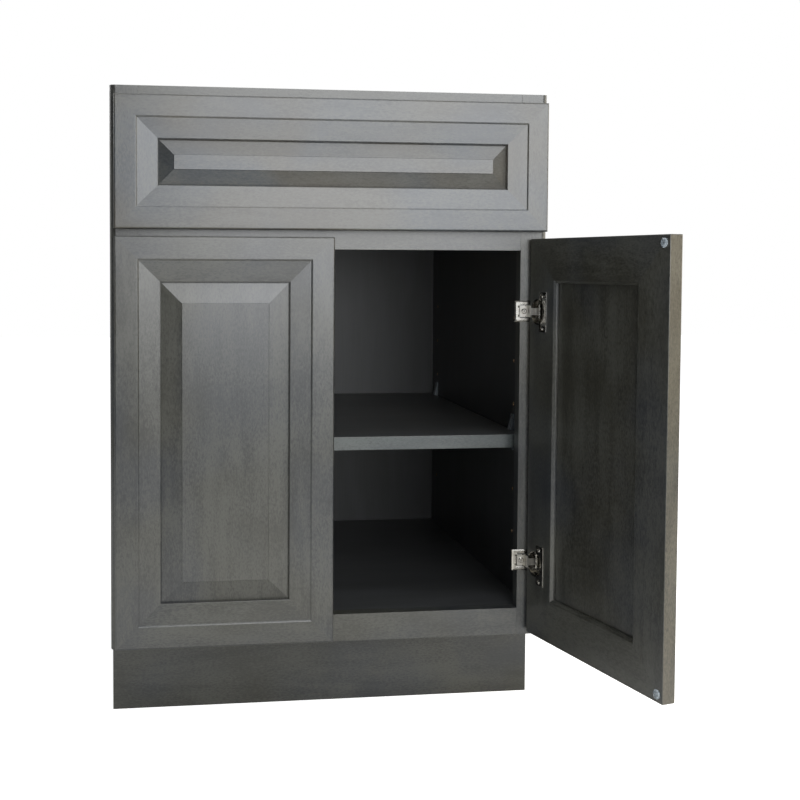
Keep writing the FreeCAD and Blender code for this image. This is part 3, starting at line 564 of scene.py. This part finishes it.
BASE_CUTS = [
    [[(x, y, z) for x, y in LIP_SLOPE for z in WHOLE_HEIGHT]],
    [[(x, y, end * z) for z, y in END_SLOPE for x in WHOLE_WIDTH] for end in (-1, 1)],
    [block_corners(*FOOT_GAP), *both_ends(*CORNER_HOLES), *both_ends(*EDGE_GAPS)]]
ARM_CUTS = [
    both_ends(*WAIST_NOTCHES),
    [[(x, y, z) for x, y in ARM_DIP for z in WHOLE_HEIGHT]],
    [[(x, y, z) for x, z in ARM_TAIL for y in ARM_FACES]]]
for side, sign in (("left", -1), ("right", 1)):
    base_cuts = [at_hinges(sign, solids) for solids in BASE_CUTS]
    arm_cuts = [at_hinges(sign, solids) for solids in ARM_CUTS]
    eased(f"{side}_hinge_bases", "nickel", HINGE_EASES, NICKEL, cuts=base_cuts)
    eased(f"{side}_hinge_arms", "nickel", HINGE_EASES, PRESSED_NICKEL, cuts=arm_cuts)
    for node in ("upper_hinge_cup", "lower_hinge_cup", "hinge_pins"):
        eased(f"{side}_door_{node}", "nickel", HINGE_EASES, NICKEL)
eased("shelf_clips", "clear_plastic", CLIP_EASES, CLEAR)
for node in (
        "slide_cabinet_members", "slide_middle_members", "slide_drawer_members",
        "outer_ball_cages", "inner_ball_cages"):
    NODES[node].data.materials.clear()
    NODES[node].data.materials.append(ZINC)


# Screws and bumpers, which repeat

def solids_of(node):
    """The corner points of each separate solid of a node."""
    shape = bmesh.new()
    shape.from_mesh(NODES[node].data)
    bmesh.ops.remove_doubles(shape, verts=shape.verts, dist=MERGE)
    waiting = set(shape.verts)
    solids = []
    while waiting:
        reached = [waiting.pop()]
        points = []
        while reached:
            vert = reached.pop()
            points.append(vert.co.copy())
            near = {edge.other_vert(vert) for edge in vert.link_edges} & waiting
            waiting -= near
            reached += near
        solids.append(points)
    shape.free()
    return solids


def seats_of(node, facing, turn=0.0):
    """Where each solid of a node stands out from its seat: the middle of its outer end, and that way."""
    to_room = Matrix.Rotation(turn, 3, "Z")
    way = FACINGS[facing]
    ends = []
    for points in solids_of(node):
        flat = [to_room.transposed() @ point for point in points]
        low = Vector(min(point[axis] for point in flat) for axis in range(3))
        high = Vector(max(point[axis] for point in flat) for axis in range(3))
        end = (low + high) / 2
        for axis in range(3):
            if way[axis]:
                end[axis] = high[axis] if way[axis] > 0 else low[axis]
        ends.append((to_room @ end, to_room @ way))
    return ends


def new_recipe(name, sizes):
    """A Geometry Nodes tree that takes points and named sizes and gives one mesh."""
    group = bpy.data.node_groups.new(name, "GeometryNodeTree")
    face = group.interface
    face.new_socket("Geometry", in_out="INPUT", socket_type="NodeSocketGeometry")
    for size in sizes:
        face.new_socket(size, in_out="INPUT", socket_type="NodeSocketFloat")
    face.new_socket("Finish", in_out="INPUT", socket_type="NodeSocketMaterial")
    face.new_socket("Geometry", in_out="OUTPUT", socket_type="NodeSocketGeometry")
    return group, Tree(group)


def stand_on_points(tree, part):
    """The part on every point, its Z along the point's outward attribute, as one mesh."""
    outward = tree.node(
        "GeometryNodeInputNamedAttribute", {"data_type": "FLOAT_VECTOR"}, {"Name": "outward"})
    turned = tree.node("FunctionNodeAlignRotationToVector", {"axis": "Z"}, {"Vector": outward})
    stood = tree.node("GeometryNodeInstanceOnPoints", {}, {
        "Points": tree.node("NodeGroupInput", {}, {}, "Geometry"), "Instance": part,
        "Rotation": turned})
    whole = tree.node("GeometryNodeRealizeInstances", {}, {"Geometry": stood})
    painted = tree.node("GeometryNodeSetMaterial", {}, {
        "Geometry": whole, "Material": tree.node("NodeGroupInput", {}, {}, "Finish")})
    tree.node("NodeGroupOutput", {}, {"Geometry": painted})


SCREW_SIDES = 32
HEAD_TAPER = 0.7
RECESS_DEPTH_SHARE = 0.7
RECESS_LENGTH_SHARE = 0.62
RECESS_WIDTH_SHARE = 0.24
SCREW_SIZES = ("Head Radius", "Crown Radius", "Head Height", "Recess Depth", "Shank Radius", "Shank Length")


def cross_head_screw():
    """Screw with a tapered head, a cross recess and a plain shank. Its crown is at the point."""
    group, tree = new_recipe("cross_head_screws", SCREW_SIZES)
    head, crown, height, recess, shank, length = (
        tree.node("NodeGroupInput", {}, {}, size) for size in SCREW_SIZES)
    body = tree.node("GeometryNodeMeshCone", {}, {
        "Vertices": SCREW_SIDES, "Radius Top": crown, "Radius Bottom": head, "Depth": height})
    bars = []
    for long_axis, short_axis in ("XY", "YX"):
        size = tree.node("ShaderNodeCombineXYZ", {}, {
            long_axis: 2 * RECESS_LENGTH_SHARE * crown, short_axis: 2 * RECESS_WIDTH_SHARE * crown,
            "Z": 2 * recess})
        bar = tree.node("GeometryNodeMeshCube", {}, {"Size": size})
        up = tree.node("ShaderNodeCombineXYZ", {}, {"Z": height})
        bars.append(tree.node("GeometryNodeTransform", {}, {"Geometry": bar, "Translation": up}))
    cut = tree.node(
        "GeometryNodeMeshBoolean", {"operation": "DIFFERENCE"}, {"Mesh 1": body, "Mesh 2": bars})
    rod = tree.node("GeometryNodeMeshCylinder", {}, {
        "Vertices": SCREW_SIDES // 2, "Radius": shank, "Depth": length})
    down = tree.node("ShaderNodeCombineXYZ", {}, {"Z": -0.5 * length})
    rod = tree.node("GeometryNodeTransform", {}, {"Geometry": rod, "Translation": down})
    screw = tree.node("GeometryNodeJoinGeometry", {}, {"Geometry": [cut, rod]})
    drop = tree.node("ShaderNodeCombineXYZ", {}, {"Z": -1 * height})
    screw = tree.node("GeometryNodeTransform", {}, {"Geometry": screw, "Translation": drop})
    stand_on_points(tree, screw)
    return group


def run_recipe(name, group, ends, sizes, finish):
    """The recipe's mesh on the given ends, as a plain mesh."""
    dots = bpy.data.meshes.new(name + "_dots")
    dots.from_pydata([end for end, way in ends], [], [])
    ways = dots.attributes.new("outward", "FLOAT_VECTOR", "POINT")
    ways.data.foreach_set("vector", [part for end, way in ends for part in way])
    holder = bpy.data.objects.new(name + "_dots", dots)
    bpy.context.scene.collection.objects.link(holder)
    recipe = holder.modifiers.new("recipe", "NODES")
    recipe.node_group = group
    for item in group.interface.items_tree:
        if item.in_out == "INPUT" and item.name in sizes:
            recipe[item.identifier] = sizes[item.name]
        if item.in_out == "INPUT" and item.name == "Finish":
            recipe[item.identifier] = finish
    mesh = baked(holder)
    mesh.name = name
    return mesh


# Head radius, head height, shank radius and shank length in millimetres
ADJUSTING_SCREW = (4.0, 1.4, 2.0, 3.6)
CUP_SCREW = (3.4, 1.0, 1.75, 12.0)
FRONT_SCREW = (4.0, 1.6, 1.75, 22.7)
BASE_SCREW = (3.6, 1.8, 1.8, 19.6)
screw_recipe = cross_head_screw()


def screws(node, slot, finish, ends, sizes):
    """Screws in a node's place, their crowns at the given ends."""
    head, height, shank, length = (size * MM for size in sizes)
    mesh = run_recipe(node, screw_recipe, ends, {
        "Head Radius": head, "Crown Radius": HEAD_TAPER * head, "Head Height": height,
        "Recess Depth": RECESS_DEPTH_SHARE * height, "Shank Radius": shank, "Shank Length": length}, finish)
    put(node + "_cross_head", mesh, slot, node)


base_ends = [end for end in seats_of("hinge_base_screws", "right") if end[0].x < 0]
base_ends += [end for end in seats_of("hinge_base_screws", "left") if end[0].x > 0]
adjusting_ends = seats_of("hinge_adjusting_screws", "front")
left_cup_ends = seats_of("left_door_cup_screws", "rear")
right_cup_ends = seats_of("right_door_cup_screws", "rear", OPEN_ANGLE)
screws("hinge_adjusting_screws", "nickel", NICKEL, adjusting_ends, ADJUSTING_SCREW)
screws("left_door_cup_screws", "nickel", NICKEL, left_cup_ends, CUP_SCREW)
screws("right_door_cup_screws", "nickel", NICKEL, right_cup_ends, CUP_SCREW)
screws("drawer_front_screws", "zinc_steel", ZINC, seats_of("drawer_front_screws", "rear"), FRONT_SCREW)
screws("hinge_base_screws", "nickel", NICKEL, base_ends, BASE_SCREW)

PAD_SIDES = 40
# Radius and height of a bumper's outline in millimetres
PAD_PROFILE = [
    (0.0, 0.0), (6.0, 0.0), (6.0, 0.55), (5.85, 1.15), (5.55, 1.7), (5.05, 2.25), (4.4, 2.65),
    (3.6, 2.88), (2.4, 2.97), (0.0, 3.0)]


def soft_pads(node, turn=0.0):
    """Round soft bumpers with a rolled edge and a nearly flat crown."""
    shape = bmesh.new()
    crown = PAD_PROFILE[-1][1]
    for end, way in seats_of(node, "rear", turn):
        stand = Matrix.Translation(end) @ way.to_track_quat("Z", "Y").to_matrix().to_4x4()
        outline = [
            shape.verts.new((radius * MM, 0, (height - crown) * MM)) for radius, height in PAD_PROFILE]
        line = [shape.edges.new(pair) for pair in zip(outline, outline[1:])]
        bmesh.ops.spin(
            shape, geom=outline + line, cent=(0, 0, 0), axis=(0, 0, 1), angle=2 * math.pi,
            steps=PAD_SIDES, use_duplicate=False)
        fresh = [vert for vert in shape.verts if not vert.tag]
        for vert in fresh:
            vert.co = stand @ vert.co
            vert.tag = True
    bmesh.ops.remove_doubles(shape, verts=shape.verts, dist=MERGE)
    bmesh.ops.recalc_face_normals(shape, faces=shape.faces)
    for face in shape.faces:
        face.smooth = True
    put(node + "_domed", mesh_from(shape, node, [CLEAR]), "clear_plastic", node)


soft_pads("left_door_bumpers")
soft_pads("right_door_bumpers", OPEN_ANGLE)
soft_pads("drawer_bumpers")

# Camera at the photograph's viewpoint

FRAME_PIXELS = 800
SENSOR = 36.0
FOCAL_PIXELS = 1149.8
CENTRE_X, CENTRE_Y = 310, 316
VIEWPOINT = Vector((-0.2433, -2.1792, 0.6352))
YAW, PITCH, ROLL = (math.radians(value) for value in (-7.642, -2.498, -0.226))

camera_data = bpy.data.cameras.new("camera")
camera_data.sensor_width = SENSOR
camera_data.lens = FOCAL_PIXELS / FRAME_PIXELS * SENSOR
camera_data.shift_x = (FRAME_PIXELS / 2 - CENTRE_X) / FRAME_PIXELS
camera_data.shift_y = (CENTRE_Y - FRAME_PIXELS / 2) / FRAME_PIXELS
camera = bpy.data.objects.new("camera", camera_data)
look = Matrix.Rotation(YAW, 4, "Z") @ Matrix.Rotation(PITCH, 4, "X") @ Matrix.Rotation(ROLL, 4, "Y")
camera.matrix_world = Matrix.Translation(VIEWPOINT) @ look @ Matrix.Rotation(math.pi / 2, 4, "X")
bpy.context.scene.collection.objects.link(camera)
bpy.context.scene.camera = camera
bpy.context.scene.view_settings.view_transform = "Standard"


# Studio

NEUTRAL = (1, 1, 1)
COOL = (0.98, 1.0, 1.02)
WARM = (1.0, 0.93, 0.78)
BLUE = (0.9, 1.0, 1.15)


def softbox(name, place, aim, width, height, glow, colour=NEUTRAL, mirrored=True):
    """A soft rectangular lamp of the given brightness, turned to look at a point. Unless it is
    mirrored, no gloss shows it."""
    lamp = bpy.data.lights.new(name, "AREA")
    lamp.shape = "RECTANGLE"
    lamp.size = width
    lamp.size_y = height
    lamp.color = colour
    lamp.energy = glow * math.pi * width * height
    box = bpy.data.objects.new(name, lamp)
    box.location = place
    box.rotation_euler = (Vector(aim) - Vector(place)).to_track_quat("-Z", "Y").to_euler()
    box.visible_camera = False
    box.visible_glossy = mirrored
    bpy.context.scene.collection.objects.link(box)


softbox(
    "front_softbox", place=(0.63, -2.6, 1.43), aim=(0.63, -0.6, 1.43),
    width=1.94, height=2.06, glow=4.45, colour=COOL)
softbox(
    "right_softbox", place=(1.75, -1.06, 1.25), aim=(0.0, -1.06, 1.25),
    width=0.9, height=1.5, glow=3.9, colour=WARM)
softbox(
    "left_softbox", place=(-2.5, -0.95, 0.8), aim=(0.3, -0.75, 0.5),
    width=1.0, height=1.4, glow=1.6, colour=BLUE, mirrored=False)
softbox(
    "top_softbox", place=(0.2, -1.25, 2.6), aim=(0.2, -1.25, 0.0),
    width=1.6, height=0.8, glow=3.6, colour=COOL)
softbox(
    "left_rear_fill", place=(-1.9, 1.5, 1.7), aim=(0.0, -0.3, 0.45), width=1.4, height=1.2, glow=3.0)
softbox(
    "right_rear_fill", place=(2.1, 1.0, 1.6), aim=(0.2, -0.4, 0.45), width=1.4, height=1.2, glow=3.0)


def looking_rays(tree):
    """1 for camera rays, and 1 for rays that look by way of metal or glass."""
    straight, glossy, through = (
        tree.node("ShaderNodeLightPath", {}, {}, f"Is {ray} Ray")
        for ray in ("Camera", "Glossy", "Transmission"))
    return straight, glossy + through


WHITE = (1.0, 1.0, 1.0, 1.0)
WARM_PAINTED_REFLECTION = (1.0, 0.97, 0.88, 1.0)
FLOOR_HALF = 8.0
# Metres from the middle of the cabinet's back over which the floor runs out to white
FLOOR_FADE = (0.9, 2.4)
# Metres from there over which the floor's painted reflection comes out of its painted shadow of the cabinet
FLOOR_PAINTED_SHADE = (0.75, 1.2)
# Metres to the right over which the floor's painted reflection is painted dark
FLOOR_RIGHT_PAINTED_DARK = (0.5, 0.8)
# Glow of the floor as the camera sees it, and the glow that paints its reflection in gloss
SEEN_NEAR, SEEN_FAR = 0.8, 0.3
MIRRORED_PAINTED_SHADE, MIRRORED_CLEAR, MIRRORED_FAR = 0.04, 0.72, -0.7


def pale_floor():
    """Pale paper floor. It keeps the shadow near the cabinet and runs out to white. Gloss sees a painted
    reflection of it: a glow seen only in mirrored rays, painted dim under the cabinet as its shadow, light
    in front of it, dim again far off and dark to the right."""
    material, finish = new_finish("pale_floor")
    straight, mirrored = looking_rays(finish)
    place = finish.points()
    speckle = finish.noise(place, scale=60.0)
    colour = finish.mix(speckle, tint(226, 225, 221), tint(232, 231, 228))
    paper = finish.node("ShaderNodeBsdfDiffuse", {}, {"Color": colour})
    reach = finish.node("ShaderNodeVectorMath", {"operation": "LENGTH"}, {0: place}, "Value")
    far = finish.spread(reach, *FLOOR_FADE)
    clear = finish.spread(reach, *FLOOR_PAINTED_SHADE)
    across = finish.node("ShaderNodeSeparateXYZ", {}, {"Vector": place}, "X")
    left = 1 - finish.spread(across, *FLOOR_RIGHT_PAINTED_DARK)
    seen = SEEN_NEAR + SEEN_FAR * far
    # Painted reflection: glow seen only in gloss, painted dim near the cabinet as its shadow, light in
    # front, dim far off and to the right
    painted_reflection = MIRRORED_PAINTED_SHADE + MIRRORED_CLEAR * clear + MIRRORED_FAR * far
    glow = finish.node("ShaderNodeEmission", {}, {
        "Color": finish.mix(straight, WARM_PAINTED_REFLECTION, WHITE),
        "Strength": seen * straight + painted_reflection * mirrored * left})
    both = finish.node("ShaderNodeAddShader", {}, {0: paper, 1: glow})
    finish.node("ShaderNodeOutputMaterial", {}, {"Surface": both})
    return material


floor_mesh = bpy.data.meshes.new("studio_floor")
corners = [(x * FLOOR_HALF, y * FLOOR_HALF, 0.0) for x, y in ((-1, -1), (1, -1), (1, 1), (-1, 1))]
floor_mesh.from_pydata(corners, [], [(0, 1, 2, 3)])
floor_mesh.materials.append(pale_floor())
floor = bpy.data.objects.new("studio_floor", floor_mesh)
bpy.context.scene.collection.objects.link(floor)

AMBIENT = (0.095, 0.103, 0.115, 1.0)
LEFT_OF_ROOM = (0.062, 0.066, 0.072, 1.0)
RIGHT_OF_ROOM = (0.2, 0.19, 0.17, 1.0)
# Parts of the direction to the right and to the rear between which the room changes
ROOM_SIDES = (-0.4, 0.6)
ROOM_REAR = (0.0, 0.5)
world = bpy.data.worlds.new("studio")
world.use_nodes = True
bpy.context.scene.world = world
room = Tree(world.node_tree)
straight, mirrored = looking_rays(room)
direction = room.node("ShaderNodeTexCoord", {}, {}, "Generated")
across = room.node("ShaderNodeSeparateXYZ", {}, {"Vector": direction}, "X")
depth = room.node("ShaderNodeSeparateXYZ", {}, {"Vector": direction}, "Y")
walls = room.mix(room.spread(across, *ROOM_SIDES), LEFT_OF_ROOM, RIGHT_OF_ROOM)
walls = room.mix(room.spread(depth, *ROOM_REAR), walls, WHITE)
light = room.mix(mirrored, AMBIENT, walls)
light = room.mix(straight, light, WHITE)
background = room.node("ShaderNodeBackground", {}, {"Color": light, "Strength": 1.0})
room.node("ShaderNodeOutputWorld", {}, {"Surface": background})
